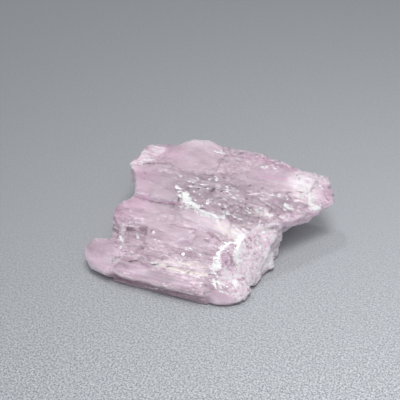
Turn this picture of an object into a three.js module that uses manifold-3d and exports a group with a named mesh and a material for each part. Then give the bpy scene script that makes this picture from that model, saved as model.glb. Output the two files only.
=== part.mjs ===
// A raw kunzite crystal: a tablet of sub-parallel spodumene blades grown together, lying on its broad face.
// Millimetres, +Z up. X runs along the blades (the c axis), Y from the broken front edge to the back.
// Every blade is a plan outline raised to a plate and then split by flat cleavage and fracture planes.
// The blades are joined in one solid, as the crystal is one piece.

import * as THREE from 'three';
import { ConvexGeometry } from 'three/addons/geometries/ConvexGeometry.js';
import { mergeVertices } from 'three/addons/utils/BufferGeometryUtils.js';
import Module from 'manifold-3d';

const wasm = await Module();
wasm.setup();

// ---- driving dimensions -------------------------------------------------------------------------

const FAR = 120; // edge of the block that splits a blade, larger than the crystal

// The broad face that both upper blades share: etched, nearly level, dipping a little to the front.
const BROAD_FACE = { through: [0, 4, 9.9], facing: [0.025, -0.07, 1] };

// The left-hand upper blade: its front edge is the jagged step down to the terrace.
const UPPER_BLADE = {
  outline: [
    [-12.7, -1.2], [-14.2, 2.8], [-16.3, 5.6], [-16.4, 8.3], [-15.4, 10.4], [-12.8, 11.7], [-9.4, 12.4],
    [-1.6, 14.6], [3.4, 14.9], [6.0, 14.7], [6.0, 1.2], [4.2, 1.2], [3.4, -0.6], [3.2, -1.8], [2.2, -3.2],
    [1.0, -2.6], [-0.4, -2.5], [-2.2, -1.6], [-4.0, -1.3],
  ],
  height: [1.0, 12.0],
  planes: [
    BROAD_FACE,
    { through: [-16.05, 5.8, 10.0], facing: [-0.75, 0.1, 0.65] }, // worn upper left edge
    { through: [-14.4, 11.4, 10.3], facing: [-0.4, 0.7, 0.6] },
    { through: [-14.6, 4, 4], facing: [-0.84, 0, -0.54] }, // left end leans out over its foot
    { through: [-12.6, 9.2, 3.4], facing: [-0.52, 0.52, -0.68] }, // back corner, broken off below
    { through: [-2, 13.0, 6.4], facing: [0, 0.88, -0.47] }, // back wall leans out over its foot
  ],
};

// The right-hand half of the tablet, which thins out to a milky end that hangs clear of the ground.
const RIGHT_BLADE = {
  outline: [
    [3.0, -2.6], [7.0, -2.2], [12.2, 0.3], [14.0, 2.4], [16.4, 5.2], [18.2, 7.2], [19.7, 8.6],
    [19.6, 10.4], [18.2, 12.0], [17.4, 13.4], [15.6, 12.9], [13.0, 12.7], [9.0, 14.0], [3.0, 14.9],
  ],
  height: [1.0, 11.0],
  planes: [
    BROAD_FACE,
    { through: [8, 1.2, 9.1], facing: [-0.02, -0.66, 0.75] }, // steep striated face below the ridge
    { through: [10.3, 0.9, 9.1], facing: [0.3, -0.2, 0.93] }, // milky corner
    { through: [17.6, 12.8, 9.4], facing: [0.41, -0.3, 0.86] }, // end facet
    { through: [14.0, 2.5, 7.9], facing: [0.76, -0.64, -0.08] }, // pink ledge under the ridge
    { through: [15.5, 4.1, 4.9], facing: [0.6, -0.1, -0.8] }, // underside of the overhang
    { through: [12, 12, 5.5], facing: [0.1, 0.88, -0.46] },
    { through: [19.6, 9.2, 7.4], facing: [0.9, -0.08, -0.43] },
  ],
};

// A thin worn plateau left standing on the back edge, which dips gently into the broad face.
const PLATEAU = {
  outline: [
    [-12.4, 8.6], [-11.4, 11.2], [-7.6, 13.8], [-4.4, 14.6],
    [-2.2, 14.2], [-1.2, 12.6], [-1.6, 7.0], [-6.0, 5.0], [-11.0, 5.4],
  ],
  height: [6.0, 13.0],
  planes: [
    { through: [-6, 5.6, 10.1], facing: [0, -0.17, 0.985] },
    { through: [-6, 12.4, 11.4], facing: [0, 0.02, 1] },
    { through: [-9.4, 10, 11.0], facing: [-0.3, 0.05, 0.95] },
    { through: [-3.8, 11, 11.3], facing: [0.24, 0.02, 0.97] },
    { through: [-6, 13.8, 8.6], facing: [0, 0.84, -0.54] },
  ],
};

// A shorter blade grown against the back wall, which steps the wall between its foot and its head.
const BACK_BLADE = {
  outline: [[-9.4, 6.0], [-8.8, 10.6], [-6.0, 11.6], [5.6, 12.2], [10.2, 11.4], [11.6, 9.6], [11.0, 6.0]],
  height: [0.9, 6.2],
  planes: [
    { through: [0, 11.2, 2.0], facing: [0, 0.8, -0.6] },
    { through: [0, 11.4, 5.6], facing: [0, 0.62, 0.78] },
    { through: [10.4, 10, 2.4], facing: [0.7, 0, -0.71] },
    { through: [-8.8, 10, 3.4], facing: [-0.9, 0.2, -0.4] },
  ],
};

// The middle blade, one cleavage step below the upper blade, with a rounded left end.
const MIDDLE_BLADE = {
  outline: [
    [-12.6, -0.4], [-13.2, -1.3], [-14.2, -2.4], [-15.1, -3.2], [-15.4, -4.6], [-15.2, -6.0], [-14.6, -6.9],
    [-14.9, -8.2], [-14.4, -9.8], [-6.0, -9.8], [-1.0, -7.2], [0.0, -0.4],
  ],
  height: [0.6, 10.0],
  planes: [
    { through: [-8, -2, 8.4], facing: [0.03, -0.13, 0.99] }, // top
    { through: [-10, -6.7, 7.4], facing: [-0.1, -0.62, 0.78] }, // front bevel
    { through: [-15.3, -4.8, 7.8], facing: [-0.7, 0, 0.71] }, // rounded left end
    { through: [-13.9, -5, 2], facing: [-0.85, 0, -0.53] },
  ],
};

// The smooth bevel that leads down from the jagged step to the terrace.
const STEP_BEVEL = {
  outline: [[-5.4, -1.0], [-4.6, -2.7], [0.0, -3.9], [4.8, -4.9], [6.4, -3.9], [5.4, -1.0], [0.0, 1.0]],
  height: [4.0, 8.9],
  planes: [
    { through: [-0.4, -2.6, 8.9], facing: [-0.15, -0.69, 0.73] },
    { through: [4.4, -2.4, 7.9], facing: [0.6, -0.2, 0.76] },
  ],
};

// The rough face that ends the lower blades at the right, broken across them in two facets.
const ROUGH_FACE = [
  { through: [9.4, -4.4, 4.9], facing: [0.66, -0.42, 0.62] },
  { through: [11.2, -5.4, 1.2], facing: [0.86, -0.34, 0.36] },
];

// The lower terrace and the front slope, which ends in a lip clear of the ground.
const TERRACE = {
  outline: [
    [-13.0, 1.0], [-13.2, -13.4], [-11.0, -14.1], [-6.0, -14.1], [-4.6, -14.5], [1.0, -14.6], [3.6, -14.9],
    [4.0, -13.2], [8.0, -12.6], [10.2, -9.8], [10.9, -5.2], [12.1, -2.1],
    [11.6, -0.8], [12.2, 0.6], [11.6, 4.0],
  ],
  height: [0.0, 9.0],
  planes: [
    { through: [0, -4.6, 7.2], facing: [0.04, -0.27, 0.96] }, // terrace
    { through: [0, -12.4, 3.8], facing: [0.14, -0.5, 0.86] }, // front slope
    { through: [0, -14.5, 2.1], facing: [0, -0.66, 0.75] }, // its steeper foot
    { through: [0, -14.2, 1.9], facing: [0, -0.2, -0.98] }, // underside of the lip
    { through: [-12.6, -9, 4], facing: [-0.98, 0, -0.2] },
    ...ROUGH_FACE,
  ],
};

// The low bulge that the rough face is broken into, under the steep striated face.
const SHOULDER = {
  corners: [
    [5.2, -2.0, 6.6], [8.6, -1.4, 6.5], [11.6, 0.0, 6.0], [11.6, 2.0, 5.6], [7.0, -3.4, 6.0],
    [10.6, -3.0, 3.2], [10.9, -1.4, 1.8], [8.0, -7.0, 3.2], [10.2, -6.0, 1.2],
  ],
  wear: 0.6,
};

// The worn end of the front blade, which runs on past the others at the left.
const THUMB = {
  corners: [
    [-17.7, -11.1, 3.5], [-16.7, -10.2, 4.6], [-14.0, -9.8, 5.0], [-11.0, -9.6, 4.8], [-16.4, -12.4, 1.6],
    [-17.2, -11.9, 2.7], [-13.7, -13.2, 1.5], [-12.9, -13.1, 1.6], [-12.6, -12.0, 4.0], [-10.0, -11.0, 1.7],
  ],
  wear: 0.85,
};

// A small knob left standing at the foot of the rough face.
const KNOB = {
  corners: [
    [11.0, -3.8, 0.8], [12.2, -2.6, 0.9], [11.9, -2.2, 1.9], [10.6, -3.2, 2.6], [10.2, -4.8, 1.6],
  ],
  wear: 0.4,
};

// The rounded nose at the foot of the rough face.
const NOSE = {
  corners: [
    [4.6, -13.1, 0.9], [5.6, -13.2, 0.8], [7.2, -12.8, 0.8], [8.8, -11.7, 0.8], [9.6, -9.8, 0.8],
    [4.9, -12.6, 2.3], [7.0, -11.9, 2.3], [8.6, -9.6, 2.2],
  ],
  wear: 0.9,
};

// The solid heart of the tablet, which carries the blades and holds the flat face that it lies on.
const HEART = {
  outline: [
    [-12.6, -13.7], [3.8, -14.2], [8.6, -11.4], [10.2, -6.0], [11.4, -1.8], [10.8, 4.0], [6.0, 9.5],
    [-2.0, 10.6], [-9.0, 9.6], [-12.6, 5.0], [-12.0, -1.0], [-13.4, -6.0],
  ],
  height: [0.0, 6.0],
  planes: [
    { through: [0, 8.6, 0], facing: [0, 0.62, -0.78] },
    { through: [9.6, 2.0, 0], facing: [0.6, 0.3, -0.74] },
    { through: [-11.4, 2.0, 0], facing: [-0.75, 0.1, -0.65] },
    { through: [-9.8, 6.8, 0], facing: [-0.52, 0.52, -0.68] },
    { through: [0, -14.5, 1.9], facing: [0, -0.6, 0.8] },
    ...ROUGH_FACE,
  ],
};

// A small pit in the front bevel of the middle blade.
const PIT = {
  outline: [[-12.2, -7.0], [-12.0, -10.2], [-9.0, -10.0], [-8.3, -8.6], [-8.6, -6.9]],
  height: [5.3, 12.0],
  planes: [],
};

// The lower step at the milky end, whose back wall is one of the end's bright edges.
const END_STEP = {
  outline: [[15.2, 4.0], [15.5, 10.6], [17.6, 11.4], [21.0, 11.2], [21.0, 4.0]],
  height: [8.8, 12.0],
  planes: [],
};

// The hollow under the pink ledge, between its lowest corner and the rough face.
const UNDERCUT = {
  outline: [[12.4, -1.0], [12.6, 0.6], [12.0, 4.0], [13.5, 6.0], [17.5, 6.0], [17.5, -1.0]],
  height: [0.0, 8.0],
  planes: [{ through: [15.5, 4.1, 4.95], facing: [0.41, 0, 0.91] }],
};

// Growth ribs: low ridges along the c axis, thickest in the middle and running out at both ends.
const RIB_SHOULDER = 0.28; // where a rib reaches its full size, as a share of its length
const RIBS = [
  { from: [-15.0, 8.2, 9.9], to: [-2.0, 9.0, 10.1], wide: 1.7, high: 0.7 },
  { from: [-1.0, 12.2, 10.1], to: [11.6, 12.4, 10.0], wide: 1.4, high: 0.7 },
  { from: [0.6, 7.4, 10.0], to: [13.0, 8.0, 9.6], wide: 1.5, high: 0.6 },
  { from: [-8.4, 4.6, 9.9], to: [4.0, 5.2, 9.8], wide: 1.8, high: 0.55 },
  { from: [3.0, 2.6, 9.6], to: [12.4, 3.6, 9.1], wide: 1.2, high: 0.7 },
  { from: [-13.6, -3.0, 8.4], to: [-2.6, -3.4, 7.8], wide: 1.5, high: 0.6 },
  { from: [-9.0, -8.2, 6.4], to: [6.0, -7.8, 5.9], wide: 1.6, high: 0.8 },
  { from: [-12.0, -11.4, 4.9], to: [4.0, -10.9, 3.6], wide: 1.4, high: 1.0 },
  { from: [-12.4, -13.2, 3.2], to: [3.8, -13.4, 3.0], wide: 0.8, high: 0.9 },
  { from: [-13.0, 12.0, 7.4], to: [6.0, 13.2, 7.6], wide: 1.2, high: 1.6 },
  { from: [-11.0, 10.6, 4.6], to: [9.0, 11.4, 5.0], wide: 1.3, high: 1.5 },
  { from: [2.0, 12.4, 6.8], to: [17.0, 12.0, 7.2], wide: 1.1, high: 1.2 },
  { from: [-9.6, 9.2, 2.2], to: [6.4, 9.6, 2.4], wide: 1.2, high: 1.2 },
  { from: [12.0, 9.2, 3.6], to: [19.0, 9.4, 5.9], wide: 1.6, high: 0.8 },
];

const MATERIAL = { color: 0xd9b8cc, roughness: 0.25, metalness: 0 };

// ---- solids ---------------------------------------------------------------------------------------

function toSolid(geometry) {
  const bare = geometry.clone();
  bare.deleteAttribute('normal');
  bare.deleteAttribute('uv');
  const merged = mergeVertices(bare, 1e-4);
  const mesh = new wasm.Mesh({
    numProp: 3,
    vertProperties: new Float32Array(merged.attributes.position.array),
    triVerts: new Uint32Array(merged.index.array),
  });
  return new wasm.Manifold(mesh);
}

function toGeometry(solid) {
  const mesh = solid.getMesh();
  const geometry = new THREE.BufferGeometry();
  geometry.setAttribute('position', new THREE.BufferAttribute(mesh.vertProperties, 3));
  geometry.setIndex(new THREE.BufferAttribute(mesh.triVerts, 1));
  return geometry;
}

// Splits off everything beyond a plane, given by a point on it and the way that it faces.
function cleave(solid, { through, facing }) {
  const block = new THREE.BoxGeometry(FAR, FAR, FAR);
  block.translate(0, 0, FAR / 2);
  const normal = new THREE.Vector3(...facing).normalize();
  block.applyQuaternion(new THREE.Quaternion().setFromUnitVectors(new THREE.Vector3(0, 0, 1), normal));
  block.translate(...through);
  return solid.subtract(toSolid(block));
}

// A plate with a plan outline, from its lowest to its highest level.
function plate({ outline, height }) {
  const [foot, top] = height;
  const shape = new THREE.Shape(outline.map(([x, y]) => new THREE.Vector2(x, y)));
  const geometry = new THREE.ExtrudeGeometry(shape, { depth: top - foot, bevelEnabled: false });
  geometry.translate(0, 0, foot);
  return toSolid(geometry);
}

// A plate with everything beyond its planes split off: a blade, or the gap left by one.
function blade(dimensions) {
  return dimensions.planes.reduce(cleave, plate(dimensions));
}

// A block with worn edges: the hull of one small ball at each corner.
function wornBlock({ corners, wear }) {
  const ball = new THREE.IcosahedronGeometry(wear, 1).attributes.position;
  const points = corners.flatMap(([x, y, z]) =>
    Array.from({ length: ball.count }, (_, i) => new THREE.Vector3(x, y, z).add(
      new THREE.Vector3().fromBufferAttribute(ball, i),
    )));
  return toSolid(new ConvexGeometry(points));
}

// A long low ridge between two points: the hull of two diamond sections and the two ends.
function rib({ from, to, wide, high }) {
  const start = new THREE.Vector3(...from);
  const end = new THREE.Vector3(...to);
  const sections = [RIB_SHOULDER, 1 - RIB_SHOULDER].flatMap((share) => {
    const centre = start.clone().lerp(end, share);
    return [
      centre.clone().add(new THREE.Vector3(0, wide / 2, 0)),
      centre.clone().add(new THREE.Vector3(0, -wide / 2, 0)),
      centre.clone().add(new THREE.Vector3(0, 0, high / 2)),
      centre.clone().add(new THREE.Vector3(0, 0, -high / 2)),
    ];
  });
  return toSolid(new ConvexGeometry([start, ...sections, end]));
}

// ---- the crystal ------------------------------------------------------------------------------------

function crystal() {
  const ground = { through: [0, 0, 0], facing: [0, 0, -1] };
  const upper = [UPPER_BLADE, RIGHT_BLADE, PLATEAU, BACK_BLADE];
  const lower = [MIDDLE_BLADE, STEP_BEVEL, TERRACE, HEART];
  const blades = [...upper, ...lower].map(blade);
  const worn = [SHOULDER, KNOB, THUMB, NOSE].map(wornBlock);
  const grown = [...blades, ...worn, ...RIBS.map(rib)].reduce((whole, part) => whole.add(part));
  const stepped = [PIT, END_STEP, UNDERCUT].map(blade).reduce((whole, gap) => whole.subtract(gap), grown);
  return cleave(stepped, ground);
}

// Moves the crystal so that the middle of its box stands over the origin.
function centred(geometry) {
  geometry.computeBoundingBox();
  const middle = geometry.boundingBox.getCenter(new THREE.Vector3());
  geometry.translate(-middle.x, -middle.y, -geometry.boundingBox.min.z);
  return geometry;
}

const mesh = new THREE.Mesh(centred(toGeometry(crystal())), new THREE.MeshStandardMaterial(MATERIAL));
mesh.name = 'kunzite_crystal';

const group = new THREE.Group();
group.add(mesh);

export default group;
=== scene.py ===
"""Looks of a raw kunzite crystal: a stepped tablet of parallel blades, lying on its broad face.

Metres, +Z up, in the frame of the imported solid: X runs along the blades (the c axis), Y to the back. Sizes
inside the shape functions are millimetres, because the crystal is 38 mm long, and the mesh is scaled at the
end.
"""

import itertools
import math

import bmesh
import bpy
import numpy as np
from mathutils import Matrix, Vector


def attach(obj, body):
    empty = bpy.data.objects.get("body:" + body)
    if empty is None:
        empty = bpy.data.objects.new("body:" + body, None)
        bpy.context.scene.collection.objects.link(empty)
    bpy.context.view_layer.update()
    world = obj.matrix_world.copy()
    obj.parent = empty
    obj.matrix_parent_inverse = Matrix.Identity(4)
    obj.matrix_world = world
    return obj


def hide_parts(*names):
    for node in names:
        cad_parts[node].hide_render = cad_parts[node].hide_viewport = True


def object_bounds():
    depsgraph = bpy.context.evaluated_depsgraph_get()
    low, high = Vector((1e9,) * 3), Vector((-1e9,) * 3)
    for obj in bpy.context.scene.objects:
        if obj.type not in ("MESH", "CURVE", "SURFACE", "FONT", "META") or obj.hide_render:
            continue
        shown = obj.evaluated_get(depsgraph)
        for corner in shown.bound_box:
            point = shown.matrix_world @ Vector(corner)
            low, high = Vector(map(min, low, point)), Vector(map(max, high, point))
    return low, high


bl_info = {
    "name": "Kunzite Crystal",
    "version": (1, 0, 0),
    "blender": (4, 5, 0),
    "location": "View3D > Sidebar > Kunzite",
    "description": "A raw kunzite crystal with etched faces, sealed veils and a plain studio around it",
    "category": "Add Mesh",
}

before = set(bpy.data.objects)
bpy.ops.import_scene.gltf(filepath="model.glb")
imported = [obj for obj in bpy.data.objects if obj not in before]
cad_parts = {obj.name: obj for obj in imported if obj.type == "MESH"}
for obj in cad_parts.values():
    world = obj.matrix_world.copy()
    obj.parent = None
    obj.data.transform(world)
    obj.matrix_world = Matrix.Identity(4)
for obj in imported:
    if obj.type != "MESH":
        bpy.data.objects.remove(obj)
CAD_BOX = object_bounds()
NODE = "kunzite_crystal"
MM = 0.001


# ---- sizes and colours ----------------------------------------------------------------------------


class KunziteSkin(bpy.types.PropertyGroup):
    """Sizes of the crystal's surface, in millimetres."""

    voxel: bpy.props.FloatProperty(
        name="Surface grain", description="Spacing of the points on the skin, mm", default=0.172, min=0.1)
    slip: bpy.props.FloatProperty(
        name="Blade slip", description="How far neighbouring thin blades end apart, mm", default=0.3)
    stria: bpy.props.FloatProperty(
        name="Striation depth", description="Depth of the grooves along the blades, mm", default=0.13)
    etch: bpy.props.FloatProperty(
        name="Etch depth", description="Height of the etch hills on the broad face, mm", default=0.13)
    sugar: bpy.props.FloatProperty(
        name="Break roughness", description="Height of the grains on the broken faces, mm", default=0.1)


class KunziteSealed(bpy.types.PropertyGroup):
    """Sizes and colour of what is sealed in the crystal."""

    thickness: bpy.props.FloatProperty(
        name="Veil thickness", description="Thickest place of a veil, mm", default=0.12)
    wave: bpy.props.FloatProperty(name="Veil wave", description="Height of a veil's waves, mm", default=0.16)
    cover: bpy.props.FloatProperty(
        name="Veil cover", description="How closed a veil is at its densest", default=0.45, min=0, max=1,
        subtype="FACTOR")
    colour: bpy.props.FloatVectorProperty(
        name="Sealed white", description="Colour of the veils and seeds", subtype="COLOR", size=3,
        default=(0.96, 0.88, 0.93))
    glow: bpy.props.FloatProperty(
        name="Seed glow", description="How strongly the light inside the crystal lights the seeds",
        default=0.7)
    veil_glow: bpy.props.FloatProperty(
        name="Veil glow", description="The same for the veils, as a share of the seeds' glow", default=0.2,
        min=0, subtype="FACTOR")


class KunziteFinish(bpy.types.PropertyGroup):
    """Colours and clearness of the crystal."""

    body_tint: bpy.props.FloatVectorProperty(
        name="Body tint", description="Colour that the clear body keeps as light crosses it",
        subtype="COLOR", size=3, default=(0.92, 0.58, 0.80))
    tint_density: bpy.props.FloatProperty(
        name="Tint density", description="How fast the body takes its tint, per metre", default=45.0)
    index: bpy.props.FloatProperty(
        name="Refractive index", description="Refractive index of spodumene", default=1.66)
    veil: bpy.props.FloatVectorProperty(
        name="Veil", description="Colour of the faintly closed body surface",
        subtype="COLOR", size=3, default=(0.85, 0.68, 0.78))
    # painted light: steep walls take this lighter colour, standing in for light coming through them
    painted_wall_light: bpy.props.FloatVectorProperty(
        name="Pale", description="Colour of the steep walls, where light comes through",
        subtype="COLOR", size=3, default=(0.99, 0.82, 0.91))
    haze: bpy.props.FloatVectorProperty(
        name="Haze", description="Colour of the deeply etched places",
        subtype="COLOR", size=3, default=(0.80, 0.71, 0.78))
    dusk: bpy.props.FloatVectorProperty(
        name="Dusk", description="Colour of the darker streaks in the body surface",
        subtype="COLOR", size=3, default=(0.68, 0.55, 0.64))
    glow_depth: bpy.props.FloatProperty(
        name="Glow depth", description="How far light wanders under the closed surface", default=0.0012,
        unit="LENGTH")
    blush: bpy.props.FloatVectorProperty(
        name="Blush", description="Colour of the pinkest places",
        subtype="COLOR", size=3, default=(0.84, 0.55, 0.72))
    # also the colour of light painted on two shaded walls
    milk: bpy.props.FloatVectorProperty(
        name="Milk", description="Colour of the milky and sugary places",
        subtype="COLOR", size=3, default=(0.99, 0.91, 0.95))
    cream: bpy.props.FloatVectorProperty(
        name="Cream", description="Colour of the yellowish streaks",
        subtype="COLOR", size=3, default=(0.99, 0.89, 0.83))
    # also the colour of the painted shade under the lip, by the ground and in two creases
    shade: bpy.props.FloatVectorProperty(
        name="Crack shade", description="Colour of the dark cracks",
        subtype="COLOR", size=3, default=(0.34, 0.21, 0.27))
    # painted highlight: the white of the breaks, glints and threads, standing in for the lamps they mirror
    flash: bpy.props.FloatVectorProperty(
        name="Flash", description="Colour of the fresh jagged breaks",
        subtype="COLOR", size=3, default=(0.98, 0.97, 0.97))


class KunziteStudio(bpy.types.PropertyGroup):
    """The floor, the light and the camera."""

    floor_colour: bpy.props.FloatVectorProperty(
        name="Floor", description="Colour of the plain floor", subtype="COLOR", size=3,
        default=(0.378, 0.392, 0.416))
    azimuth: bpy.props.FloatProperty(
        name="Camera azimuth", description="Round from the front towards +X", default=math.radians(18),
        subtype="ANGLE")
    elevation: bpy.props.FloatProperty(
        name="Camera elevation", description="Above the floor", default=math.radians(40), subtype="ANGLE")
    lens: bpy.props.FloatProperty(
        name="Lens", description="Focal length on a 36 mm sensor", default=100.0, unit="CAMERA")
    distance: bpy.props.FloatProperty(
        name="Camera distance", description="From the aim point", default=0.19165, unit="LENGTH")
    sky_colour: bpy.props.FloatVectorProperty(
        name="Sky colour", description="Colour of the plain surrounding light", subtype="COLOR", size=3,
        default=(0.95, 0.97, 1.0))
    sky: bpy.props.FloatProperty(
        name="Sky", description="Strength of the plain surrounding light", default=0.40)
    key: bpy.props.FloatProperty(
        name="Key light", description="Power of the round lamp", default=0.2, unit="POWER")
    pool: bpy.props.FloatProperty(
        name="Pool light", description="Power of the soft lamp above", default=3.5, unit="POWER")
    front: bpy.props.FloatProperty(
        name="Front light", description="Power of the broad lamp in front", default=0.7, unit="POWER")


# ---- marks on the surface -------------------------------------------------------------------------
# Each mark: half-width in mm, strength, and the points of its path in mm.

BREAKS_AND_PAINTED_HIGHLIGHTS = (  # fresh jagged breaks, whitish, with painted highlight: white painted where their facets would mirror the lamps
    (0.35, 0.9, ((-7.0, 1.9, 9.9), (-6.2, 1.2, 9.9), (-5.5, 0.7, 9.8))),
    (0.85, 1.1, ((-5.1, 0.4, 9.8), (-4.4, -0.5, 9.7), (-3.6, -1.2, 9.6))),
    (0.58, 1.1, (
        (-3.2, -1.6, 9.6), (-1.8, -2.2, 9.5), (-0.6, -2.5, 9.4), (0.9, -2.9, 9.4), (1.6, -3.3, 9.3))),
    (0.42, 1.1, ((1.6, -3.3, 9.3), (2.4, -2.3, 9.0), (2.7, -1.7, 9.3), (2.9, -0.6, 8.9))),
    (0.62, 1.1, ((6.3, -3.9, 7.2), (6.2, -5.0, 6.8), (6.5, -6.2, 6.2), (6.6, -7.2, 5.4))),
    (0.24, 1.1, ((6.2, -5.0, 6.8), (5.2, -5.6, 6.8), (4.3, -6.0, 6.6))),
    (0.34, 1.1, ((4.3, -6.0, 6.6), (3.9, -7.0, 6.3), (3.6, -7.9, 6.1), (3.8, -9.0, 5.9))),
    (0.16, 1.1, ((4.4, -7.2, 6.0), (3.9, -8.2, 6.0), (3.0, -9.0, 5.9))),
    (0.58, 1.1, ((3.8, -9.5, 5.8), (4.2, -10.1, 5.3), (3.6, -10.5, 5.0))),
    (0.26, 1.0, ((4.2, -10.1, 5.3), (5.0, -9.9, 5.2), (5.6, -10.1, 4.7))),
    (0.32, 1.0, ((3.6, -10.9, 4.7), (4.0, -11.9, 4.0), (4.3, -12.6, 3.4))),
    (0.17, 1.0, ((4.0, -11.3, 4.4), (5.0, -11.2, 4.1), (5.9, -11.0, 3.7))),
    (0.16, 1.0, ((4.2, -12.0, 3.9), (5.3, -12.0, 3.6), (6.6, -12.2, 3.1))),
    (0.14, 1.0, ((4.1, -11.0, 4.5), (4.8, -11.8, 3.9), (5.4, -12.6, 3.1))),
    (0.30, 1.0, ((6.9, -7.6, 5.0), (7.1, -8.2, 4.3))),
    (0.20, 0.8, ((4.8, 1.0, 9.1), (6.4, 0.9, 9.0), (7.8, 0.8, 9.0))),
    (0.24, 1.0, ((7.8, 0.8, 9.0), (8.9, 0.7, 8.9), (10.2, 1.0, 8.6))),
    (0.24, 0.9, ((11.0, 1.4, 8.3), (11.6, 1.8, 8.1), (12.1, 2.1, 8.1))),
    (0.40, 1.0, ((11.7, 4.1, 8.9), (12.4, 4.1, 8.6), (13.1, 4.2, 8.3))),
    (0.55, 1.0, ((15.2, 7.5, 8.5), (15.4, 6.8, 8.2), (16.0, 6.4, 7.8), (16.9, 6.7, 7.5))),
    (0.22, 0.9, ((14.3, 9.7, 9.6), (14.9, 8.6, 8.9), (15.2, 7.5, 8.5))),
    (0.22, 0.9, ((-16.7, 5.1, 10.3), (-16.0, 5.5, 10.4))),
    (0.30, 0.9, ((-15.0, 6.2, 10.4), (-14.1, 6.9, 10.5), (-13.4, 6.9, 10.4))),
    (0.28, 0.8, ((-3.2, 12.2, 11.0), (-2.4, 12.5, 10.8), (-1.3, 12.6, 10.6))),
    (0.15, 0.9, ((4.4, -12.9, 3.2), (5.6, -13.1, 2.7), (6.4, -13.0, 2.3))),
    (0.22, 0.8, ((6.4, -12.9, 2.4), (7.4, -12.6, 2.2), (8.2, -12.0, 2.1))),
    (0.45, 0.75, ((7.2, -8.6, 3.9), (7.2, -9.8, 3.1), (7.4, -11.4, 2.9))),
    (0.40, 0.7, ((8.7, -7.9, 3.0), (8.9, -8.9, 2.2))),
    (0.30, 0.7, ((9.2, -4.1, 5.1), (9.6, -4.7, 4.0))),
    (0.30, 0.7, ((10.4, -3.5, 4.3), (10.9, -3.4, 3.7))),
    (0.20, 1.1, ((-11.0, -7.1, 6.5), (-11.0, -7.1, 5.4), (-10.5, -8.2, 5.3))),
    (0.20, 1.0, ((-13.4, -9.0, 6.5), (-12.8, -10.0, 6.2), (-12.5, -10.9, 5.4))),
    (0.15, 0.9, ((-7.8, -8.5, 6.4), (-6.4, -8.7, 6.4), (-4.9, -8.9, 6.4))),
    (0.14, 0.8, ((-3.8, -8.5, 6.7), (-2.3, -8.6, 6.4), (-0.8, -8.6, 6.2))),
)

MILKY_AND_PAINTED_LIGHT = (  # soft closed places; two of them are light painted on shaded walls
    (2.0, 1.0, ((13.4, 9.6, 9.9), (15.3, 9.5, 8.8))),
    (1.1, 0.5, ((-3.7, -3.0, 8.2), (-1.1, -3.4, 8.3), (1.5, -3.8, 8.4), (3.9, -3.6, 7.6), (5.2, -3.7, 7.3))),
    (1.1, 0.8, ((-15.8, 6.8, 10.5), (-13.2, 9.1, 10.6))),
    # painted light: the shaded front-left wall lightened, standing in for light coming through it
    (1.4, 0.8, ((-16.3, 4.7, 9.6), (-16.0, 4.4, 8.4), (-15.0, 3.0, 6.7))),
    # painted light: the shaded ledge at the right end lightened, standing in for light coming through it
    (1.3, 0.6, ((12.8, 1.8, 6.2), (14.6, 3.9, 5.8), (16.4, 6.1, 6.3))),
    (1.2, 0.35, ((-8.0, 12.9, 11.4), (-4.1, 13.8, 11.2))),
    (1.0, 0.4, ((-5.1, -11.7, 4.6), (-0.0, -11.2, 4.5), (3.1, -10.7, 4.8))),
)

CREAMY = (  # yellowish streaks
    (0.30, 1.0, ((-6.5, -11.7, 4.6), (-2.5, -12.1, 4.3), (2.5, -11.6, 4.2))),
    (0.30, 0.9, ((-4.5, -11.5, 4.9), (-1.2, -10.9, 4.9), (2.7, -10.5, 5.0))),
    (0.22, 0.8, ((-1.1, -12.9, 3.7), (2.1, -13.0, 3.2))),
    (0.90, 0.9, ((3.1, -3.9, 8.2), (4.8, -3.6, 7.3))),
    (0.35, 0.9, ((7.2, 0.8, 9.0), (8.9, 0.7, 8.9), (10.0, 0.9, 8.7))),
    (0.90, 0.7, ((13.0, 7.6, 9.5), (14.2, 7.5, 9.0))),
    (0.25, 0.6, ((5.4, -1.9, 7.8), (7.2, -1.8, 7.7), (9.1, -1.0, 7.1), (11.2, -0.3, 6.6))),
)

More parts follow.
